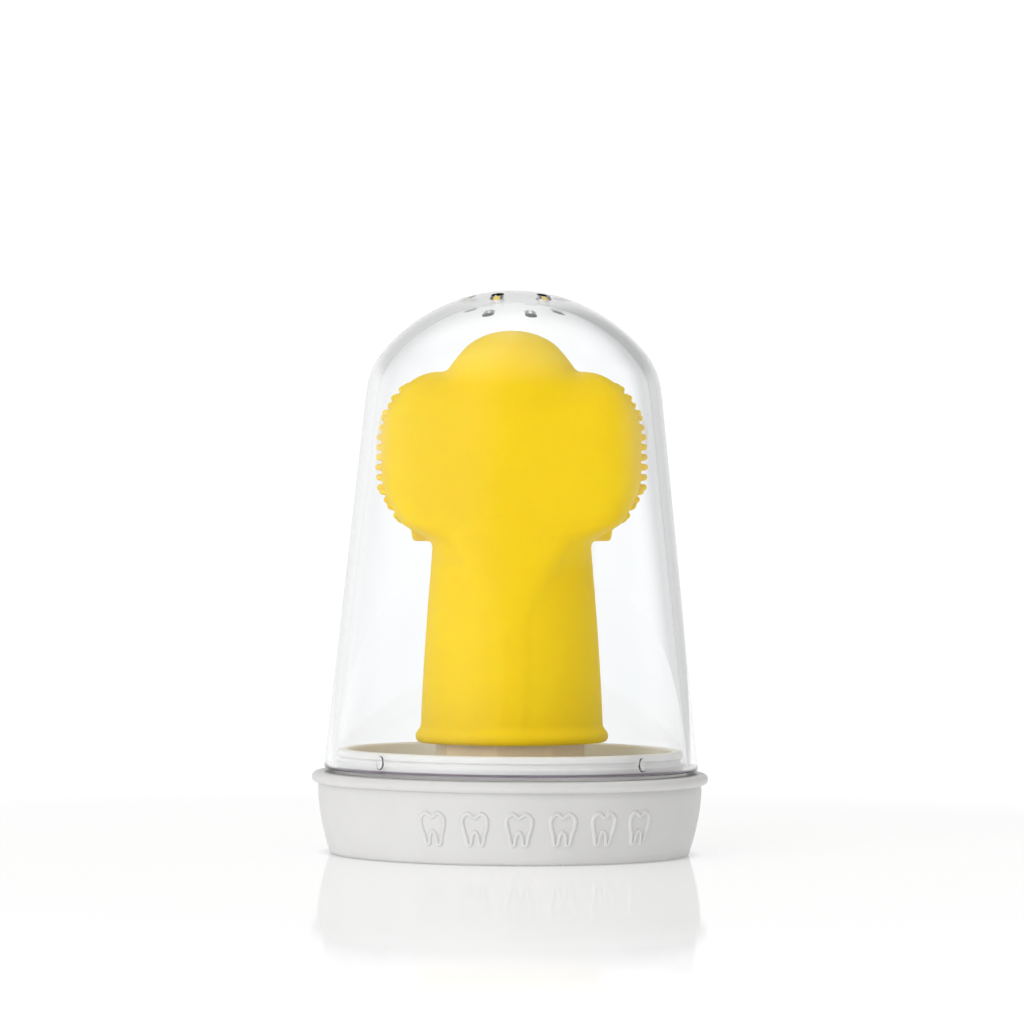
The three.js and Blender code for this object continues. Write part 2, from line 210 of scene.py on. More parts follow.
FACE_SEARCH = (10.0, 18.0)            # half-widths that a bristle face lies between
GRID_X = (-17.2, 17.21, 0.4)          # start, end and pitch of the grid that the brush is traced on
GRID_Y = (-12.8, 12.81, 0.4)
GRID_Z = ((13.4, 17, 0.22), (17, 38, 0.5), (38, 67.6, 0.4))
BRUSH_LEAN = -0.46                    # degrees, the brush stands a little askew on its post
BRUSH_PIVOT = 40.0


# ---- Mesh helpers ----

def arc(centre, radius, start, end, steps):
    """Points along an arc, angles in degrees, both ends included."""
    angles = np.radians(np.linspace(start, end, steps + 1))
    return [(centre[0] + radius * math.cos(a), centre[1] + radius * math.sin(a)) for a in angles]


def rounded(corners, steps=5):
    """An open outline from (x, y, radius) corners, with each corner turned into an arc of that radius."""
    points = [corners[0][:2]]
    for before, (x, y, radius), after in zip(corners, corners[1:], corners[2:]):
        here = np.array((x, y))
        to_before = np.array(before[:2]) - here
        to_after = np.array(after[:2]) - here
        to_before /= np.linalg.norm(to_before)
        to_after /= np.linalg.norm(to_after)
        turn = math.acos(max(-1, min(1, float(to_before @ to_after))))
        if radius == 0 or turn > math.radians(178):
            points.append((x, y))
            continue
        reach = radius / math.tan(turn / 2)
        middle = to_before + to_after
        centre = here + middle / np.linalg.norm(middle) * radius / math.sin(turn / 2)
        first = here + to_before * reach - centre
        last = here + to_after * reach - centre
        start = math.atan2(first[1], first[0])
        sweep = (math.atan2(last[1], last[0]) - start + math.pi) % (2 * math.pi) - math.pi
        points += [
            tuple(centre + radius * np.array((math.cos(a), math.sin(a))))
            for a in np.linspace(start, start + sweep, steps + 1)
        ]
    points.append(corners[-1][:2])
    return points


def mesh_piece(name, points, faces, sharp=30):
    """An object with outward normals and smooth shading from points in millimetres."""
    mesh = bpy.data.meshes.new(name)
    mesh.from_pydata((np.asarray(points) * MM).tolist(), [], [list(map(int, f)) for f in faces])
    shaped = bmesh.new()
    shaped.from_mesh(mesh)
    bmesh.ops.remove_doubles(shaped, verts=shaped.verts, dist=1e-7)
    bmesh.ops.recalc_face_normals(shaped, faces=shaped.faces)
    shaped.to_mesh(mesh)
    shaped.free()
    finish_shading(mesh, sharp)
    piece = bpy.data.objects.new(name, mesh)
    bpy.context.scene.collection.objects.link(piece)
    return piece


def finish_shading(mesh, sharp):
    """Smooth shading, with edges that bend more than an angle in degrees kept sharp."""
    mesh.shade_smooth()
    mesh.set_sharp_from_angle(angle=math.radians(sharp))


def rings_piece(name, rings, sharp=30, closed=False):
    """A skin over rings of points that all have the same length. Open ends are closed by a fan."""
    around = len(rings[0])
    points = np.concatenate([np.asarray(ring, dtype=float) for ring in rings])
    faces = []
    pairs = range(len(rings)) if closed else range(len(rings) - 1)
    for row in pairs:
        here, there = row * around, (row + 1) % len(rings) * around
        for i in range(around):
            j = (i + 1) % around
            faces.append((here + i, here + j, there + j, there + i))
    if not closed:
        centres = [points[:around].mean(axis=0), points[-around:].mean(axis=0)]
        first = len(points)
        points = np.vstack([points, centres])
        last_row = (len(rings) - 1) * around
        for i in range(around):
            j = (i + 1) % around
            faces.append((first, j, i))
            faces.append((first + 1, last_row + i, last_row + j))
    return mesh_piece(name, points, faces, sharp)


def lathe(name, profile, segments, sharp=30):
    """A body turned about Z from (radius, height) points. The first and last lie next to the axis."""
    angles = np.linspace(0, 2 * math.pi, segments, endpoint=False)
    rings = [
        np.stack([r * np.cos(angles), r * np.sin(angles), np.full(segments, z)], axis=1)
        for r, z in profile
    ]
    return rings_piece(name, rings, sharp)


def combine(piece, tools, operation, sharp=30):
    """Joins the tools to a piece, or cuts them out of it, and removes them."""
    for tool in tools:
        change = piece.modifiers.new(operation.lower(), "BOOLEAN")
        change.operation = operation
        change.solver = "MANIFOLD"
        change.object = tool
    depsgraph = bpy.context.evaluated_depsgraph_get()
    mesh = bpy.data.meshes.new_from_object(piece.evaluated_get(depsgraph))
    piece.modifiers.clear()
    piece.data = mesh
    for tool in tools:
        bpy.data.objects.remove(tool)
    finish_shading(mesh, sharp)


def join_all(name, pieces):
    """One object from several that don't touch."""
    joined = bmesh.new()
    for piece in pieces:
        joined.from_mesh(piece.data)
        bpy.data.objects.remove(piece)
    mesh = bpy.data.meshes.new(name)
    joined.to_mesh(mesh)
    joined.free()
    result = bpy.data.objects.new(name, mesh)
    bpy.context.scene.collection.objects.link(result)
    return result


def lean(piece, degrees, height):
    """Tilt a piece's mesh about a line along Y at a height."""
    turn = math.radians(degrees)
    for vertex in piece.data.vertices:
        x, z = vertex.co.x, vertex.co.z - height * MM
        vertex.co.x = x * math.cos(turn) + z * math.sin(turn)
        vertex.co.z = height * MM + z * math.cos(turn) - x * math.sin(turn)


def shift(piece, along):
    """Move a piece's mesh along X."""
    for vertex in piece.data.vertices:
        vertex.co.x += along * MM


# ---- Case base ----

def skirt_radius(height):
    """Outer radius of the skirt, which curves in towards the foot."""
    below = np.clip((SKIRT_TOP - height) / SKIRT_TOP, 0, 1)
    return SKIRT_RADIUS - SKIRT_TAPER * below ** SKIRT_POWER


def base_profile():
    """The base's outline: underside, foot, skirt, lip, spigot with its groove, tray and boss."""
    under = BOSS_TOP - (TRAY_FLOOR - TRAY_UNDER)
    foot = float(skirt_radius(FOOT_ROUND))
    inner = rounded([
        (NEAR_AXIS, under, 0),
        (BOSS_CORE, under, 0.4),
        (BOSS_CORE, TRAY_UNDER, 0.4),
        (float(skirt_radius(TRAY_UNDER)) - SKIRT_WALL, TRAY_UNDER, 0.6),
        (foot - SKIRT_WALL, 0, 0.25),
        (foot - FOOT_ROUND, 0, 0),
    ])
    skirt = [(float(skirt_radius(z)), z) for z in np.linspace(*SKIRT_SPAN, 26)]
    lip_centre = (LIP_OUTER - LIP_ROUND, LAND_HEIGHT - LIP_ROUND)
    low, high, depth = GROOVE
    outer = rounded([
        (lip_centre[0], LAND_HEIGHT, 0),
        (SPIGOT_OUTER, LAND_HEIGHT, 0.25),
        (SPIGOT_OUTER, low, 0.12),
        (SPIGOT_OUTER - depth, low + GROOVE_SLOPE, 0.12),
        (SPIGOT_OUTER - depth, high - GROOVE_SLOPE, 0.12),
        (SPIGOT_OUTER, high, 0.12),
        (SPIGOT_OUTER, SPIGOT_TOP, 0.35),
        (SPIGOT_INNER, SPIGOT_TOP, 0.35),
        (SPIGOT_INNER, TRAY_FLOOR, 0.8),
        (BOSS_RADIUS, TRAY_FLOOR, 0.6),
        (BOSS_RADIUS, BOSS_TOP, 0.3),
        (NEAR_AXIS, BOSS_TOP, 0),
    ])
    foot_arc = arc((foot - FOOT_ROUND, FOOT_ROUND), FOOT_ROUND, -80, 0, 6)
    lip_arc = arc(lip_centre, LIP_ROUND, -110, 80, 16)
    return inner + foot_arc + skirt + lip_arc + outer


def closed_curve(corners, steps=8):
    """A smooth closed curve through points, as Catmull-Rom spans."""
    knots = np.asarray(corners, dtype=float)
    count = len(knots)
    points = []
    for i in range(count):
        a, b, c, d = (knots[(i + k) % count] for k in (-1, 0, 1, 2))
        for t in np.linspace(0, 1, steps, endpoint=False):
            square = (2 * a - 5 * b + 4 * c - d) * t ** 2
            cube = (3 * b - a - 3 * c + d) * t ** 3
            points.append(0.5 * (2 * b + (c - a) * t + square + cube))
    return np.array(points)


def tooth_relief(angle):
    """A raised tooth outline that follows the skirt, at an angle from the front."""
    right = list(TOOTH_HALF)
    left = [(-x, y) for x, y in right[:0:-1]]
    outline = closed_curve(right + [TOOTH_FORK] + left) * TOOTH_SIZE
    along = np.roll(outline, -1, axis=0) - np.roll(outline, 1, axis=0)
    along /= np.linalg.norm(along, axis=1)[:, None]
    across = np.stack([along[:, 1], -along[:, 0]], axis=1)
    rings = []
    for turn in np.radians(TOOTH_SECTION):
        offset = outline + across * TOOTH_STROKE * math.cos(turn)
        height = TOOTH_HEIGHT + offset[:, 1]
        lift = (TOOTH_PROUD if turn <= math.pi else TOOTH_ROOT) * math.sin(turn)
        radius = skirt_radius(height) + lift
        azimuth = math.radians(angle) + offset[:, 0] / SKIRT_RADIUS
        rings.append(np.stack([radius * np.sin(azimuth), -radius * np.cos(azimuth), height], axis=1))
    return rings_piece("tooth", rings, closed=True)


def make_base():
    base = lathe("case_base_shell", base_profile(), BASE_SIDES)
    first = TOOTH_CENTRE - TOOTH_PITCH * (TOOTH_COUNT - 1) / 2
    teeth = [tooth_relief(first + TOOTH_PITCH * i) for i in range(TOOTH_COUNT)]
    combine(base, [join_all("teeth", teeth)], "UNION")
    return base


# ---- Post ----

def make_post():
    corners = np.radians(-90 + POST_TURN + np.arange(8) * 45)
    flat = math.cos(math.pi / 8)

    def ring(radius, height, corner_round):
        """One level of the post, its radius measured to where the flats would meet."""
        spread = radius - corner_round / flat
        points = []
        for corner in corners:
            centre = (spread * math.cos(corner), spread * math.sin(corner))
            degrees = math.degrees(corner)
            round_corner = arc(centre, corner_round, degrees - 22.5, degrees + 22.5, 6)
            points += [(x, y, height) for x, y in round_corner]
        return points

    foot, top = POST_LOW[2], POST_HIGH[2]
    inner = rounded([
        (POST_CLOSING, top - POST_WALL, 0),
        (POST_TOP_RADIUS - POST_TOP_ROUND, top - POST_WALL, 1.0),
        (POST_TOP_RADIUS - POST_WALL, top - POST_TOP_ROUND, 1.0),
        (POST_FOOT_RADIUS - POST_WALL, POST_STRAIGHT, 0),
        (POST_FOOT_RADIUS - POST_WALL, foot, 0),
    ])
    outer = rounded([
        (POST_FOOT_RADIUS - POST_FOOT_EDGE, foot, 0),
        (POST_FOOT_RADIUS, foot + POST_FOOT_EDGE, 0.2),
        (POST_FOOT_RADIUS, POST_STRAIGHT, 4.0),
        (POST_TOP_RADIUS, top - POST_TOP_ROUND, 0),
    ])
    crown = arc((POST_TOP_RADIUS - POST_TOP_ROUND, top - POST_TOP_ROUND), POST_TOP_ROUND, 0, 90, 12)
    rings = [ring(r, z, min(POST_INNER_ROUND, 0.8 * r)) for r, z in inner]
    rings += [ring(r, z, POST_CORNER_ROUND) for r, z in outer + crown[1:]]
    rings.append(ring(POST_CLOSING, top, 0.8 * POST_CLOSING))
    return rings_piece("post_peg", rings)


# ---- Cover ----

def wall_radius(height):
    """Outer radius of the leaning wall."""
    return RIM_RADIUS - DRAFT * (height - RIM_HEIGHT)


def shoulder():
    """Centre and end angles of the round between the leaning wall and the crown."""
    lean = math.atan(DRAFT)
    crown_centre = APEX - CROWN_RADIUS
    low, high = crown_centre, APEX
    for _ in range(60):
        middle = (low + high) / 2
        across = wall_radius(middle) - SHOULDER_RADIUS / math.cos(lean)
        if math.hypot(across, middle - crown_centre) < CROWN_RADIUS - SHOULDER_RADIUS:
            low = middle
        else:
            high = middle
    centre = (wall_radius(low) - SHOULDER_RADIUS / math.cos(lean), low)
    return centre, math.degrees(lean), math.degrees(math.atan2(low - crown_centre, centre[0]))


def outer_curve():
    """The cover's outside up to the apex, with its bends eased so that the glass doesn't distort."""
    centre, wall_angle, crown_angle = shoulder()
    right = [(wall_radius(RIM_HEIGHT), RIM_HEIGHT)]
    right += arc(centre, SHOULDER_RADIUS, wall_angle, crown_angle, 40)
    right += arc((0, APEX - CROWN_RADIUS), CROWN_RADIUS, crown_angle, 90, 40)[1:]
    whole = np.array(right + [(-r, z) for r, z in right[-2::-1]])
    run = np.concatenate([[0], np.cumsum(np.linalg.norm(np.diff(whole, axis=0), axis=1))])
    even = np.arange(0, run[-1], EASE_STEP)
    curve = np.stack([np.interp(even, run, whole[:, k]) for k in range(2)], axis=1)
    reach = np.arange(-3 * EASE, 3 * EASE + EASE_STEP / 2, EASE_STEP)
    weight = np.exp(-0.5 * (reach / EASE) ** 2)
    weight /= weight.sum()
    eased = np.stack([np.convolve(curve[:, k], weight, mode="valid") for k in range(2)], axis=1)
    half = eased[eased[:, 0] > 0]
    return half[half[:, 1] > RIM_HEIGHT + EASE_FROM][::3]


def cover_profile():
    """The cover's outline, inside first, and the radius of its inner wall at a height."""
    outside = outer_curve()
    along = np.gradient(outside, axis=0)
    along /= np.linalg.norm(along, axis=1)[:, None]
    inward = np.stack([-along[:, 1], along[:, 0]], axis=1)
    share = (outside[:, 1] - RIM_HEIGHT) / (APEX - RIM_HEIGHT)
    wall = COVER_WALL + (CROWN_WALL - COVER_WALL) * smoothstep(share, *WALL_GROWTH)
    inside = (outside + inward * wall[:, None])[::-1]
    inside = inside[inside[:, 0] > 2 * NEAR_AXIS]
    thick = COVER_WALL / math.cos(math.atan(DRAFT))

    def inner_wall(height):
        return wall_radius(height) - thick

    above_rim = RIM_HEIGHT + RIM_STRAIGHT
    rim = rounded([
        (inner_wall(above_rim), above_rim, 0),
        (inner_wall(RIM_HEIGHT), RIM_HEIGHT, RIM_ROUND),
        (RIM_RADIUS, RIM_HEIGHT, RIM_ROUND),
        (wall_radius(above_rim), above_rim, 0),
    ])
    return [tuple(p) for p in inside] + rim + [tuple(p) for p in outside], inner_wall


def vent_drill(angle):
    """The round bar that one vent is cut with, at an angle from the front."""
    x, y = VENT_RING * math.sin(angle), -VENT_RING * math.cos(angle)
    turns = np.linspace(0, 2 * math.pi, VENT_SIDES, endpoint=False)
    across, along = x + VENT_RADIUS * np.cos(turns), y + VENT_RADIUS * np.sin(turns)
    rings = [np.stack([across, along, np.full(VENT_SIDES, z)], axis=1) for z in DRILL_HEIGHTS]
    return rings_piece("drill", rings)


def snap_pip(angle, inner_radius):
    """A small rounded bump on the inside of the wall."""
    proud, across, high = PIP_SIZE
    rings = []
    for lift in np.radians(np.linspace(-88, 88, 14)):
        turns = np.linspace(0, 2 * math.pi, PIP_SIDES, endpoint=False)
        out = inner_radius + PIP_SUNK + proud * math.cos(lift) * np.cos(turns)
        side = across / 2 * math.cos(lift) * np.sin(turns)
        rings.append(np.stack([
            out * math.cos(angle) - side * math.sin(angle),
            out * math.sin(angle) + side * math.cos(angle),
            np.full(PIP_SIDES, PIP_HEIGHT + high / 2 * math.sin(lift)),
        ], axis=1))
    return rings_piece("pip", rings)


def make_cover():
    profile, inner_wall = cover_profile()
    cover = lathe("cover_dome", profile, COVER_SIDES, sharp=40)
    drills = [vent_drill(math.radians(VENT_START + 360 * i / VENT_COUNT)) for i in range(VENT_COUNT)]
    combine(cover, [join_all("drills", drills)], "DIFFERENCE", sharp=40)
    inside = inner_wall(PIP_HEIGHT)
    pips = [snap_pip(math.radians(45 + 360 * i / PIP_COUNT), inside) for i in range(PIP_COUNT)]
    combine(cover, [join_all("pips", pips)], "UNION", sharp=40)
    shift(cover, COVER_SHIFT)
    return cover


# ---- Brush ----

def smooth_join(a, b, width):
    """The union of two fields, rounded over a width."""
    near = np.maximum(width - np.abs(a - b), 0)
    return np.minimum(a, b) - near * near / (4 * width)


def smooth_cut(a, b, width):
    """What two fields share, rounded over a width."""
    return -smooth_join(-a, -b, width)


def smoothstep(value, low, high):
    share = np.clip((value - low) / (high - low), 0, 1)
    return share * share * (3 - 2 * share)


def core_radius(height):
    """Radius of the finger-shaped core, from the sleeve's mouth to the tip."""
    def sleeve(z):
        up = z - SLEEVE_FROM
        return SLEEVE_RADIUS - SLEEVE_TAPER[0] * up - SLEEVE_TAPER[1] * up * up

    share = np.clip((height - NECK_HEIGHT) / (TIP_FROM - NECK_HEIGHT), 0, 1)
    upper = sleeve(NECK_HEIGHT) + (TIP_RADIUS - sleeve(NECK_HEIGHT)) * share
    up = np.clip((height - TIP_FROM) / (BRUSH_APEX - TIP_FROM), 0, 1)
    return np.where(height < NECK_HEIGHT, sleeve(height), upper * np.sqrt(1 - up * up))


def head_reach(z):
    """Half the head's width seen from the front: crowned bristle faces over a turned-in neck."""
    drop = FACE_CROWN - np.sqrt(np.maximum(FACE_CROWN ** 2 - (z - FACE_HEIGHT) ** 2, 0))
    crowned = HEAD_REACH + np.minimum(FACE_CROWN_RISE - drop, 0)
    neck = core_radius(np.minimum(z, NECK_TURN[1]))
    return neck + (crowned - neck) * smoothstep(z, *NECK_TURN)


def bore_field(out, z):
    """Below zero inside the finger cavity."""
    cavity_top = BRUSH_APEX - TIP_WALL
    up = np.clip((z - TIP_FROM) / (cavity_top - TIP_FROM), 0, 1)
    radius = (core_radius(np.minimum(z, TIP_FROM)) - BRUSH_WALL) * np.sqrt(1 - up * up)
    return out - radius + np.maximum(z - cavity_top, 0)


def brush_field(x, y, z):
    """Below zero inside the silicone, bristles left out."""
    out = np.hypot(x, y)
    core = out - core_radius(z) + np.maximum(z - BRUSH_APEX, 0)
    bead = np.hypot(out - BEAD_RING, z - MOUTH - BEAD_RADIUS) - BEAD_RADIUS
    wide = head_reach(z)
    neck_depth = core_radius(NECK_HEIGHT)
    deep = neck_depth + (HEAD_RADIUS - neck_depth) * smoothstep(z, NECK_HEIGHT, HEAD_HEIGHT)
    power = 2 + (HEAD_SQUARENESS - 2) * smoothstep(z, *NECK_SQUARE)
    section = ((np.abs(x) / wide) ** power + (np.abs(y) / deep) ** power) ** (1 / power)
    over_top = np.hypot(y, np.maximum(z - HEAD_HEIGHT, 0)) - HEAD_RADIUS
    head = smooth_cut((section - 1) * deep, over_top, HEAD_TOP_BLEND)
    head = np.maximum(head, NECK_SQUARE[0] - z)
    ridge_half = np.maximum(RIDGE_HALF + RIDGE_SPREAD * (z - RIDGE_HEIGHT), RIDGE_NARROWEST)
    ridge = (np.abs(x) / ridge_half) ** RIDGE_SQUARENESS + (np.abs(y) / deep) ** RIDGE_SQUARENESS
    ridge = (ridge ** (1 / RIDGE_SQUARENESS) - 1) * np.minimum(ridge_half, deep)
    ridge = ridge + 1.5 * RIDGE_BLEND * smoothstep(z, RIDGE_TOP - RIDGE_FADE, RIDGE_TOP)
    core = smooth_join(core, np.maximum(ridge, z - RIDGE_TOP - RIDGE_OVERRUN), RIDGE_BLEND)
    rim_side = np.hypot(y, z - RIM_DISC_HEIGHT) - RIM_DISC_RADIUS
    rim = smooth_cut(rim_side, np.abs(x) - RIM_DISC_REACH, RIM_DISC_ROUND)
    over_head = CROWN_BLEND + CROWN_BLEND_ENDS * smoothstep(np.abs(y), *CROWN_DEPTHS)
    body = smooth_join(core, head, NECK_BLEND + over_head * smoothstep(z, *CROWN_HEIGHTS))
    rim = np.maximum(rim, RIM_DISC_REACH - RIM_DISC_DEPTH - np.abs(x))
    solid = np.minimum(smooth_join(body, bead, BEAD_BLEND), rim)
    solid = smooth_cut(solid, MOUTH - z, EDGE_ROUND)
    return smooth_cut(solid, -bore_field(out, z), EDGE_ROUND)


def surface_net(field, axes):
    """Points and quads of a field's zero surface on a grid, with the points moved onto the surface."""
    value = field(*np.meshgrid(*axes, indexing="ij"))
    inside = value < 0
    corners = list(itertools.product((0, 1), repeat=3))
    size = [n - 1 for n in value.shape]

    def window(array, corner):
        return array[tuple(slice(c, c + n) for c, n in zip(corner, size))]

    filled = sum(window(inside, corner).astype(int) for corner in corners)
    cells = np.argwhere((filled > 0) & (filled < 8))
    number = np.full(size, -1)
    number[tuple(cells.T)] = np.arange(len(cells))
    total = np.zeros((len(cells), 3))
    crossings = np.zeros(len(cells))
    for start in corners:
        for axis in range(3):
            if start[axis]:
                continue
            end = tuple(c + (k == axis) for k, c in enumerate(start))
            first, second = cells + start, cells + end
            a, b = value[tuple(first.T)], value[tuple(second.T)]
            crossed = (a < 0) != (b < 0)
            share = np.where(crossed, a / np.where(crossed, a - b, 1), 0)[:, None]
            low = np.stack([axes[k][first[:, k]] for k in range(3)], axis=1)
            high = np.stack([axes[k][second[:, k]] for k in range(3)], axis=1)
            total += np.where(crossed[:, None], low + (high - low) * share, 0)
            crossings += crossed
    points = total / crossings[:, None]

    quads = []
    for axis in range(3):
        step = np.eye(3, dtype=int)
        u, v = step[(axis + 1) % 3], step[(axis + 2) % 3]
        ahead = np.roll(inside, -1, axis=axis)
        change = inside != ahead
        change[tuple(-1 if k == axis else slice(None) for k in range(3))] = False
        edges = np.argwhere(change)
        quad = np.stack([number[tuple((edges - shift).T)] for shift in (0 * u, u, u + v, v)], axis=1)
        flip = ~inside[tuple(edges.T)]
        quad[flip] = quad[flip][:, ::-1]
        quads.append(quad)

    for _ in range(8):
        points -= field_step(field, points)
    return points, np.concatenate(quads)


def field_step(field, points, reach=0.25, nudge=1e-3):
    """The move that brings each point nearer the field's zero surface."""
    here = field(*points.T)
    slope = np.stack([
        (field(*(points + nudge * way).T) - field(*(points - nudge * way).T)) / (2 * nudge)
        for way in np.eye(3)
    ], axis=1)
    move = (here / np.maximum((slope ** 2).sum(axis=1), 0.05))[:, None] * slope
    length = np.linalg.norm(move, axis=1)[:, None]
    return move * np.minimum(1, reach / np.maximum(length, 1e-9))


def face_reach(y, z):
    """Half-width of the bristle face at a point of the side view."""
    low, high = FACE_SEARCH
    for _ in range(30):
        middle = (low + high) / 2
        if brush_field(middle, y, z) < 0:
            low = middle
        else:
            high = middle
    return low


def pin_places():
    """Y, Z and tip half-width of every bristle and nub on a face."""
    places = []
    steps = np.arange(BRISTLE_ROWS) - (BRISTLE_ROWS - 1) / 2
    for up, y in itertools.product(steps * BRISTLE_PITCH, repeat=2):
        if math.hypot(y, up) < BRISTLE_FIELD:
            places.append((y, HEAD_HEIGHT + up, BRISTLE_TIP - BRISTLE_LEAN * up))
    for radius, proud, angles in NUB_ARCS:
        for angle in np.radians(angles):
            y, z = radius * math.sin(angle), HEAD_HEIGHT + radius * math.cos(angle)
            places.append((y, z, face_reach(y, z) + proud))
    return places


def pin(side, y, z, tip):
    """A round bristle with a domed tip and a flared root."""
    surface = face_reach(y, z)
    turns = np.linspace(0, 2 * math.pi, BRISTLE_SIDES, endpoint=False)
    dome = [
        (tip - BRISTLE_RADIUS * (1 - math.cos(a)), BRISTLE_RADIUS * math.sin(a))
        for a in np.radians((12, 35, 60, 90))
    ]
    flare = [(surface + over, radius) for over, radius in BRISTLE_FLARE]
    root = (BRISTLE_ROOT, BRISTLE_FLARE[-1][1])
    rings = [
        np.stack([np.full(BRISTLE_SIDES, side * x), y + r * np.cos(turns), z + r * np.sin(turns)], axis=1)
        for x, r in dome + flare + [root]
    ]
    return rings_piece("pin", rings)


def make_brush():
    heights = np.concatenate([np.arange(*span) for span in GRID_Z])
    axes = (np.arange(*GRID_X), np.arange(*GRID_Y), heights)
    points, quads = surface_net(brush_field, axes)
    brush = mesh_piece("silicone_brush", points, quads, sharp=60)
    pins = [pin(side, *place) for side in (1, -1) for place in pin_places()]
    combine(brush, [join_all("pins", pins)], "UNION", sharp=50)
    lean(brush, BRUSH_LEAN, BRUSH_PIVOT)
    return brush


# ---- Materials ----

class Graph:
    """A node tree with short ways of adding what the materials, the floor and the world share."""

    def __init__(self, tree):
        self.nodes = tree.nodes
        self.links = tree.links
        self.place = self.nodes.new("ShaderNodeTexCoord")

    def math(self, operation, *values):
        """One calculation with numbers or sockets."""
        node = self.nodes.new("ShaderNodeMath")
        node.operation = operation
        for socket, value in zip(node.inputs, values):
            if isinstance(value, (int, float)):
                socket.default_value = value
            else:
                self.links.new(value, socket)
        return node.outputs[0]

    def ranged(self, value, low, high, start=0.3, end=0.7, soft=False):
        """The value spread from start..end onto low..high, with eased ends where it is soft."""
        node = self.nodes.new("ShaderNodeMapRange")
        if soft:
            node.interpolation_type = "SMOOTHSTEP"
        ends = {"From Min": start, "From Max": end, "To Min": low, "To Max": high}
        for socket, number in ends.items():
            node.inputs[socket].default_value = number
        self.links.new(value, node.inputs["Value"])
        return node.outputs["Result"]

    def step(self, value, start, end, low, high):
        """A soft step from low to high as the value goes from start to end."""
        return self.ranged(value, low, high, start, end, soft=True)


class Material(Graph):
    """A material whose principled shader is fed by a few procedural layers."""

    def __init__(self, name, **sockets):
        self.data = bpy.data.materials.new(name)
        self.data.use_nodes = True
        super().__init__(self.data.node_tree)
        self.shader = self.nodes["Principled BSDF"]
        for socket, value in sockets.items():
            self.shader.inputs[socket.replace("_", " ")].default_value = value

    def noise(self, per_metre, detail=3):
        """Even noise in the piece's own coordinates."""
        texture = self.nodes.new("ShaderNodeTexNoise")
        texture.inputs["Scale"].default_value = per_metre
        texture.inputs["Detail"].default_value = detail
        self.links.new(self.place.outputs["Object"], texture.inputs["Vector"])
        return texture.outputs["Fac"]

    def height_band(self, low, high, soft=0.05):
        """1 between two heights in millimetres, 0 away from them."""
        axes = self.nodes.new("ShaderNodeSeparateXYZ")
        self.links.new(self.place.outputs["Object"], axes.inputs[0])
        return self.math("MULTIPLY", *(
            self.ranged(axes.outputs["Z"], start, end, (at - soft) * MM, (at + soft) * MM)
            for at, start, end in ((low, 0, 1), (high, 1, 0))
        ))

    def mixed(self, share, first, second):
        """A colour between two, by a share from 0 to 1."""
        node = self.nodes.new("ShaderNodeMix")
        node.data_type = "RGBA"
        for socket, colour in (("A", first), ("B", second)):
            target = next(s for s in node.inputs if s.name == socket and s.type == "RGBA")
            if isinstance(colour, tuple):
                target.default_value = (*colour, 1)
            else:
                self.links.new(colour, target)
        self.links.new(share, node.inputs["Factor"])
        return next(s for s in node.outputs if s.type == "RGBA")

    def feed(self, socket, value):
        """Drive one of the shader's sockets."""
        self.links.new(value, self.shader.inputs[socket])

    def bump(self, layers):
        """Bump from (height, depth in millimetres) layers, one over the other."""
        normal = None
        for height, depth in layers:
            node = self.nodes.new("ShaderNodeBump")
            node.inputs["Distance"].default_value = depth * MM
            self.links.new(height, node.inputs["Height"])
            if normal is not None:
                self.links.new(normal, node.inputs["Normal"])
            normal = node.outputs["Normal"]
        self.feed("Normal", normal)


PAINTED_LIGHT_BAND = (LAND_HEIGHT + 0.5, SPIGOT_TOP + 1, 0.3)      # painted light: the base is coloured lighter between these heights, where it lies in the cover's shade
RIM_PAINTED_SHADE_BAND = (RIM_HEIGHT - 1, RIM_HEIGHT + 0.36)         # painted shade: the dark line along the cover's rim, for the shadowed gap beneath it


def silicone():
    m = Material("yellow_silicone", Subsurface_Weight=0.35, Subsurface_Scale=0.0012, Specular_IOR_Level=0.2)
    m.shader.inputs["Subsurface Radius"].default_value = (1.0, 0.55, 0.08)
    cloud = m.ranged(m.noise(160, 4), 0, 1)
    m.feed("Base Color", m.mixed(cloud, (0.95, 0.67, 0.004), (0.93, 0.64, 0.003)))
    m.feed("Roughness", m.ranged(m.noise(900, 4), 0.46, 0.60))
    m.bump([(m.noise(9000, 2), 0.006), (m.noise(700, 3), 0.010)])
    return m.data


def case_plastic():
    m = Material("off_white_plastic", Subsurface_Weight=0.08, Subsurface_Scale=0.0006)
    m.shader.inputs["Subsurface Radius"].default_value = (1.0, 0.9, 0.8)
    cloud = m.ranged(m.noise(120, 4), 0, 1)
    outside = m.mixed(cloud, (0.64, 0.637, 0.63), (0.61, 0.607, 0.60))
    # painted light: a lighter copy of the base's plastic above the ledge stands in for light bounced onto
    # the spigot and tray
    inside = m.mixed(cloud, (0.86, 0.855, 0.845), (0.83, 0.825, 0.815))
    m.feed("Base Color", m.mixed(m.height_band(*PAINTED_LIGHT_BAND), outside, inside))
    m.feed("Roughness", m.ranged(m.noise(800, 5), 0.32, 0.46))
    m.bump([(m.noise(7000, 2), 0.004), (m.noise(350, 2), 0.008)])
    return m.data


def post_plastic():
    m = Material("off_white_post_plastic_painted_warm", Subsurface_Weight=0.1, Subsurface_Scale=0.0006)
    # painted light: the post is off-white plastic; its warm cream colour and high brightness stand in for
    # yellow light through the silicone and for the light its recess lacks
    m.feed("Base Color", m.mixed(m.ranged(m.noise(150, 4), 0, 1), (0.97, 0.83, 0.65), (0.94, 0.78, 0.60)))
    m.feed("Roughness", m.ranged(m.noise(800, 4), 0.36, 0.5))
    m.bump([(m.noise(7000, 2), 0.004), (m.noise(400, 2), 0.008)])
    return m.data


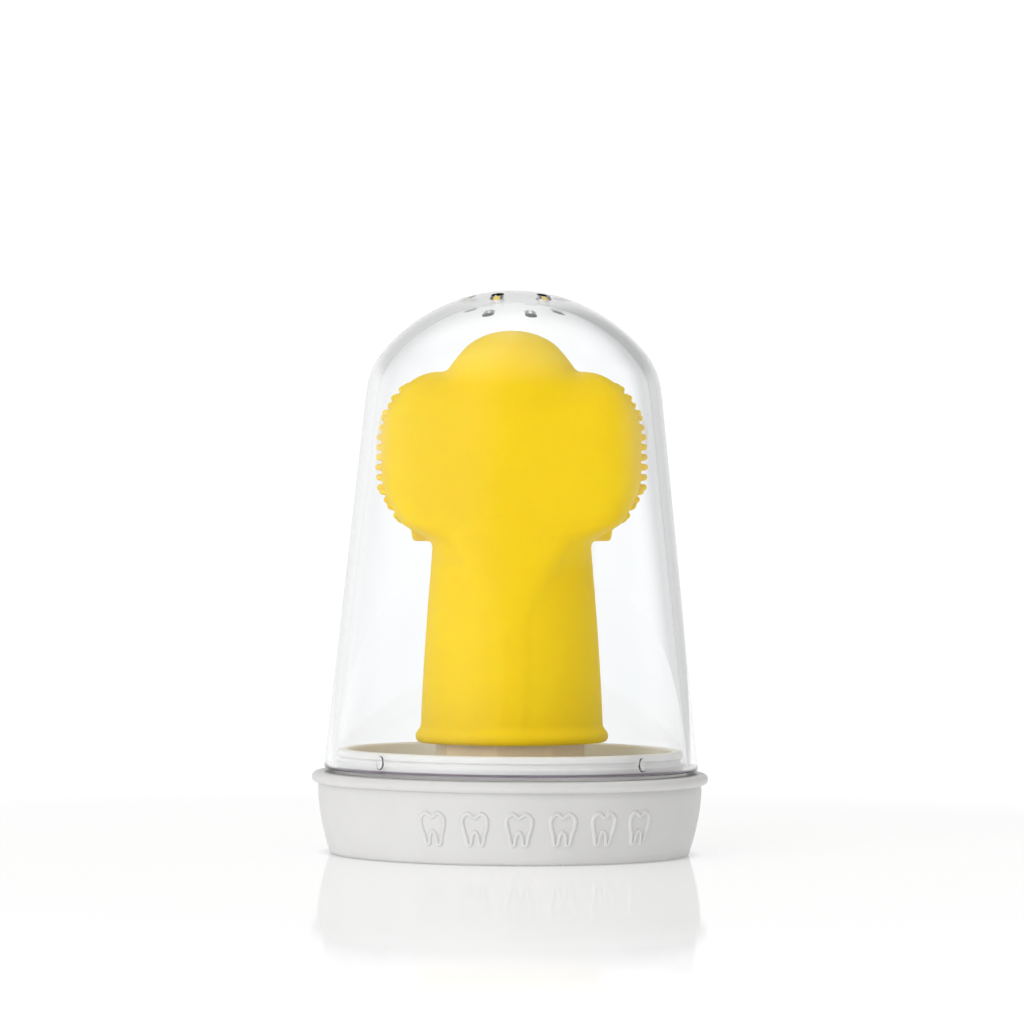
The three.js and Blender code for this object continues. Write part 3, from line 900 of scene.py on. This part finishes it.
def clear_plastic():
    m = Material("clear_plastic", Transmission_Weight=1.0, IOR=1.49)
    clear = m.mixed(m.ranged(m.noise(200, 2), 0, 1), (0.985, 0.992, 0.995), (0.975, 0.985, 0.99))
    # painted shade: the glass is coloured dark purple-grey along the rim for the shadowed gap seen through
    # it
    m.feed("Base Color", m.mixed(m.height_band(*RIM_PAINTED_SHADE_BAND), clear, (0.30, 0.26, 0.32)))
    m.feed("Roughness", m.ranged(m.noise(140, 5), 0.0, 0.025, 0.45, 0.8))
    m.bump([(m.noise(90, 2), 0.004)])
    return m.data


# ---- Floor, light and camera ----

FLOOR_RINGS = (1, 200, 1000, 8000)
FLOOR_SIDES = 96
FLOOR_GREY = 0.5
FLOOR_GLOW_AND_PAINTED_SHADOW = (0.0222, 0.0250, 0.3, 0.62)      # metres from the axis, and strength under and beyond; the weaker glow under the case is a painted contact shadow
FLOOR_MIRROR = (0.10, 0.21, 0.66, 0)          # the same for its mirror, which ends short of the edge
FLOOR_ROUGHNESS = 0.06
FLOOR_IOR = 1.45

# Azimuth 0 is straight behind the object, 90 to its right, -90 to its left and 180 at the camera.
BACKDROP = 1.09                               # brightness straight behind the object
SEEN_RIGHT = ((7, 16, 0.70), (34, 60, 0.50), (70, 100, 0.04))           # azimuths, next brightness
SEEN_LEFT = ((-6, -16, 0.96), (-40, -75, 0.40), (-140, -178, 0.04))
SEEN_ABOVE = (7, 18, 1, 0.72)                 # elevations and factors
SEEN_OVERHEAD = (35, 60, 0, 0.3)
SEEN_HIGH_FRONT = ((90, 120, 0, 1), (18, 34, 0, 0.4))                   # by azimuth and elevation
AMBIENT = 0.57
OVERHEAD_LIGHT = (35, 60, 0, 0.45)
KEY_LIGHT = 2.9
KEY_SPREAD = (0.86, 0.98)                     # cosines of the key light's outer and inner edge
KEY_AZIMUTH = math.radians(35)                # to the left of the camera
KEY_ELEVATION = math.radians(17)

CAMERA_PLACE = (0, -0.620, 0.0436)
CAMERA_ROLL = -0.46                           # degrees
CAMERA_LENS = 170.5


def floor_disc():
    """A flat disc of rings round the object."""
    angles = np.linspace(0, 2 * math.pi, FLOOR_SIDES, endpoint=False)
    points = np.concatenate([
        np.stack([r * np.cos(angles), r * np.sin(angles), np.zeros(FLOOR_SIDES)], axis=1)
        for r in FLOOR_RINGS
    ])
    faces = [tuple(range(FLOOR_SIDES))]
    for row, i in itertools.product(range(len(FLOOR_RINGS) - 1), range(FLOOR_SIDES)):
        near, far = row * FLOOR_SIDES, (row + 1) * FLOOR_SIDES
        j = (i + 1) % FLOOR_SIDES
        faces.append((near + i, far + i, far + j, near + j))
    return mesh_piece("studio_floor", points, faces)


def floor_white():
    """Glowing white, with a painted contact shadow where the glow drops under the case, and a mirror that
    grows at flat angles.
    """
    data = bpy.data.materials.new("studio_white")
    data.use_nodes = True
    data.node_tree.nodes.clear()
    graph = Graph(data.node_tree)
    nodes, links = graph.nodes, graph.links
    distance = nodes.new("ShaderNodeVectorMath")
    distance.operation = "LENGTH"
    links.new(graph.place.outputs["Object"], distance.inputs[0])

    matt = nodes.new("ShaderNodeBsdfDiffuse")
    matt.inputs["Color"].default_value = (FLOOR_GREY, FLOOR_GREY, FLOOR_GREY, 1)
    glow = nodes.new("ShaderNodeEmission")
    # painted shadow: the glow is weaker under the case
    links.new(graph.step(distance.outputs["Value"], *FLOOR_GLOW_AND_PAINTED_SHADOW), glow.inputs["Strength"])
    both = nodes.new("ShaderNodeAddShader")
    links.new(matt.outputs[0], both.inputs[0])
    links.new(glow.outputs[0], both.inputs[1])

    mirror = nodes.new("ShaderNodeBsdfGlossy")
    mirror.inputs["Roughness"].default_value = FLOOR_ROUGHNESS
    fresnel = nodes.new("ShaderNodeFresnel")
    fresnel.inputs["IOR"].default_value = FLOOR_IOR
    near = graph.step(distance.outputs["Value"], *FLOOR_MIRROR)
    mix = nodes.new("ShaderNodeMixShader")
    links.new(graph.math("MULTIPLY", fresnel.outputs[0], near), mix.inputs[0])
    links.new(both.outputs[0], mix.inputs[1])
    links.new(mirror.outputs[0], mix.inputs[2])
    output = nodes.new("ShaderNodeOutputMaterial")
    links.new(mix.outputs[0], output.inputs["Surface"])
    return data


def make_floor():
    floor = floor_disc()
    floor.data.materials.append(floor_white())


def make_world():
    """A white studio that greys to the right and towards the camera, with one soft key light.

    It answers in two ways. What is seen directly, through the cover or in a mirror gets the
    surroundings. What lights the pieces is an even white with the key light and light from above.
    """
    world = bpy.data.worlds.new("studio")
    world.use_nodes = True
    bpy.context.scene.world = world
    graph = Graph(world.node_tree)
    background = graph.nodes["Background"]
    background.inputs["Color"].default_value = (1, 1, 1, 1)
    direction = graph.place.outputs["Generated"]
    axes = graph.nodes.new("ShaderNodeSeparateXYZ")
    graph.links.new(direction, axes.inputs[0])
    turned = graph.math("ARCTAN2", axes.outputs[0], axes.outputs[1])
    azimuth = graph.math("MULTIPLY", turned, 180 / math.pi)
    elevation = graph.math("MULTIPLY", graph.math("ARCSINE", axes.outputs[2]), 180 / math.pi)

    def around(turns):
        """Brightness that goes from level to level with the azimuth."""
        (start, end, level), *others = turns
        total = graph.step(azimuth, start, end, BACKDROP, level)
        for start, end, following in others:
            total = graph.math("ADD", total, graph.step(azimuth, start, end, 0, following - level))
            level = following
        return total

    def choose(share, first, second):
        """The first where the share is 1 and the second where it is 0."""
        rest = graph.math("SUBTRACT", 1, share)
        return graph.math("ADD", graph.math("MULTIPLY", share, first), graph.math("MULTIPLY", rest, second))

    is_right = graph.math("GREATER_THAN", azimuth, 0)
    horizon = choose(is_right, around(SEEN_RIGHT), around(SEEN_LEFT))
    seen = graph.math("MULTIPLY", horizon, graph.step(elevation, *SEEN_ABOVE))
    seen = graph.math("ADD", seen, graph.step(elevation, *SEEN_OVERHEAD))
    by_azimuth, by_elevation = SEEN_HIGH_FRONT
    front = graph.step(graph.math("ABSOLUTE", azimuth), *by_azimuth)
    seen = graph.math("ADD", seen, graph.math("MULTIPLY", front, graph.step(elevation, *by_elevation)))

    towards_key = graph.nodes.new("ShaderNodeVectorMath")
    towards_key.operation = "DOT_PRODUCT"
    graph.links.new(direction, towards_key.inputs[0])
    towards_key.inputs[1].default_value = (
        -math.cos(KEY_ELEVATION) * math.sin(KEY_AZIMUTH),
        -math.cos(KEY_ELEVATION) * math.cos(KEY_AZIMUTH),
        math.sin(KEY_ELEVATION),
    )
    key = graph.step(towards_key.outputs["Value"], *KEY_SPREAD, AMBIENT, AMBIENT + KEY_LIGHT)
    light = graph.math("ADD", key, graph.step(elevation, *OVERHEAD_LIGHT))

    rays = graph.nodes.new("ShaderNodeLightPath")
    clear = graph.math("ADD", rays.outputs["Is Camera Ray"], rays.outputs["Is Transmission Ray"])
    clear = graph.math("MINIMUM", graph.math("ADD", clear, rays.outputs["Is Glossy Ray"]), 1)
    unscattered = graph.math("LESS_THAN", rays.outputs["Diffuse Depth"], 0.5)
    direct = graph.math("MULTIPLY", clear, unscattered)
    graph.links.new(choose(direct, seen, light), background.inputs["Strength"])


def make_camera():
    data = bpy.data.cameras.new("camera")
    data.lens = CAMERA_LENS
    data.sensor_width = 36
    data.clip_end = 50
    camera = bpy.data.objects.new("camera", data)
    camera.rotation_mode = "XYZ"
    camera.location = CAMERA_PLACE
    camera.rotation_euler = (math.radians(90), math.radians(CAMERA_ROLL), 0)
    bpy.context.scene.collection.objects.link(camera)
    bpy.context.scene.camera = camera


# ---- Scene ----

def dress(piece, material, body, node):
    """Give a piece its material, tie it to its body and hide the CAD node that it replaces."""
    piece.data.materials.clear()
    piece.data.materials.append(material)
    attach(piece, body)
    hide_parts(node)


bpy.context.scene.view_settings.view_transform = "Standard"
bpy.context.scene.cycles.blur_glossy = 0
make_camera()
make_world()
make_floor()
dress(make_base(), case_plastic(), "base", "case_base")
dress(make_post(), post_plastic(), "base", "drying_post")
dress(make_brush(), silicone(), "brush", "finger_brush")
dress(make_cover(), clear_plastic(), "cover", "clear_cover")
